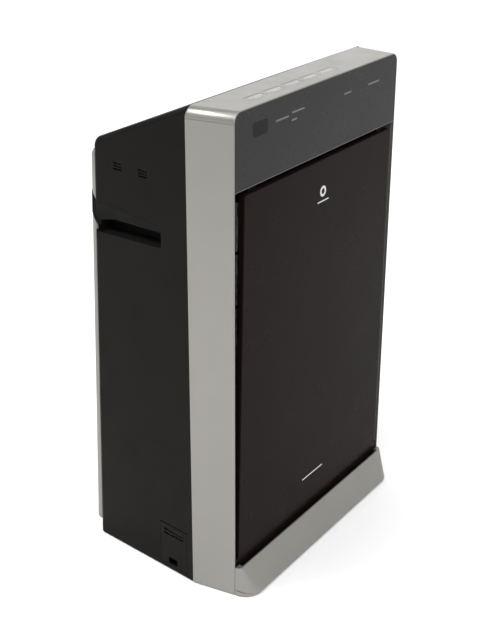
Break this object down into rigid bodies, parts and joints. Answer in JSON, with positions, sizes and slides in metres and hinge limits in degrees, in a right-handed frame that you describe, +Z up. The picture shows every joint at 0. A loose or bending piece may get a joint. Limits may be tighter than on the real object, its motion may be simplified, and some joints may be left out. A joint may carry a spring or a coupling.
{
  "type": "air purifier",
  "caption": "Tall floor-standing air purifier with a silver arch frame, dark tapering body, opening front panel, top keys and a rear outlet flap.",
  "frame": {"origin": "middle of the footprint, on the floor", "axes": "+Z up, the front faces -Y, +X to the viewer's right when facing the front"},
  "size_m": [0.368, 0.2585, 0.6],
  "materials": {
    "silver": "satin silver paint on moulded plastic",
    "dark_body": "fine textured charcoal",
    "gloss_front": "dark brown gloss",
    "gloss_display": "dark grey gloss",
    "smoked_window": "smoked, polished",
    "light_print": "pale grey",
    "inner_plastic": "black moulded",
    "white_plastic": "natural moulded",
    "filter_paper": "pleated",
    "carbon": "granular",
    "mesh": "woven nylon net",
    "board": "solder mask",
    "steel": "plated",
    "rubber": "matt"
  },
  "bodies": {
    "root": {"frame_left": "silver", "frame_right": "silver", "frame_top": "silver", "base_skirt": "silver", "toe_cover": "silver", "rear_cover": "silver", "side_shell_left": "dark_body", "side_shell_right": "dark_body", "top_deck": "dark_body", "rear_panel": "dark_body", "handle_cup_left": "dark_body", "handle_cup_right": "dark_body", "outlet_grille": "dark_body", "base_tray": "dark_body", "display_panel": "gloss_display", "display_window": "smoked_window", "indicator_lenses": "light_print", "control_tray": "inner_plastic", "filter_chamber": "inner_plastic", "prefilter_frame": "inner_plastic", "inlet_ring": "inner_plastic", "scroll_housing": "inner_plastic", "hepa_frame": "white_plastic", "ioniser_unit": "white_plastic", "dust_sensor": "white_plastic", "hepa_pleats": "filter_paper", "deodoriser_filter": "carbon", "prefilter_mesh": "mesh", "display_board": "board", "key_board": "board", "climate_sensor": "board", "power_board": "board", "fan_motor": "steel", "motor_bracket": "steel", "rear_screws": "steel", "rubber_feet": "rubber", "cord_inlet": "rubber"},
    "front_panel": {"front_panel": "gloss_front", "panel_pins": "steel", "panel_catches": "inner_plastic", "panel_emblem": "light_print"},
    "outlet_flap": {"outlet_flap": "dark_body"},
    "sensor_cover": {"sensor_cover": "dark_body"},
    "fan": {"fan_wheel": "white_plastic", "motor_shaft": "steel", "fan_nut": "steel"},
    "key_power": {"key_power": "silver"},
    "key_mode": {"key_mode": "silver"},
    "key_airflow": {"key_airflow": "silver"},
    "key_timer": {"key_timer": "silver"},
    "key_ioniser": {"key_ioniser": "silver"}
  },
  "joints": [
    {"name": "front_panel_tilt", "type": "hinge", "parent": "root", "child": "front_panel", "pos_m": [0, -0.10175, 0.046], "axis": [1, 0, 0], "range_deg": [-0.3, 18]},
    {"name": "outlet_flap_lift", "type": "hinge", "parent": "root", "child": "outlet_flap", "pos_m": [0, 0.05661, 0.55203], "axis": [-1, 0, 0], "range_deg": [0, 75]},
    {"name": "sensor_cover_open", "type": "hinge", "parent": "root", "child": "sensor_cover", "pos_m": [-0.17581, -0.01546, 0.0624], "axis": [0.1212, 0.9926, 0], "range_deg": [0, 70]},
    {"name": "fan_spin", "type": "hinge", "parent": "root", "child": "fan", "pos_m": [0, -0.00525, 0.262], "axis": [0, 1, 0], "continuous": true},
    {"name": "key_power_press", "type": "slide", "parent": "root", "child": "key_power", "axis": [0, 0, -1], "range_m": [0, 0.0008], "stiffness_N_per_m": 900},
    {"name": "key_mode_press", "type": "slide", "parent": "root", "child": "key_mode", "axis": [0, 0, -1], "range_m": [0, 0.0008], "stiffness_N_per_m": 900},
    {"name": "key_airflow_press", "type": "slide", "parent": "root", "child": "key_airflow", "axis": [0, 0, -1], "range_m": [0, 0.0008], "stiffness_N_per_m": 900},
    {"name": "key_timer_press", "type": "slide", "parent": "root", "child": "key_timer", "axis": [0, 0, -1], "range_m": [0, 0.0008], "stiffness_N_per_m": 900},
    {"name": "key_ioniser_press", "type": "slide", "parent": "root", "child": "key_ioniser", "axis": [0, 0, -1], "range_m": [0, 0.0008], "stiffness_N_per_m": 900}
  ]
}
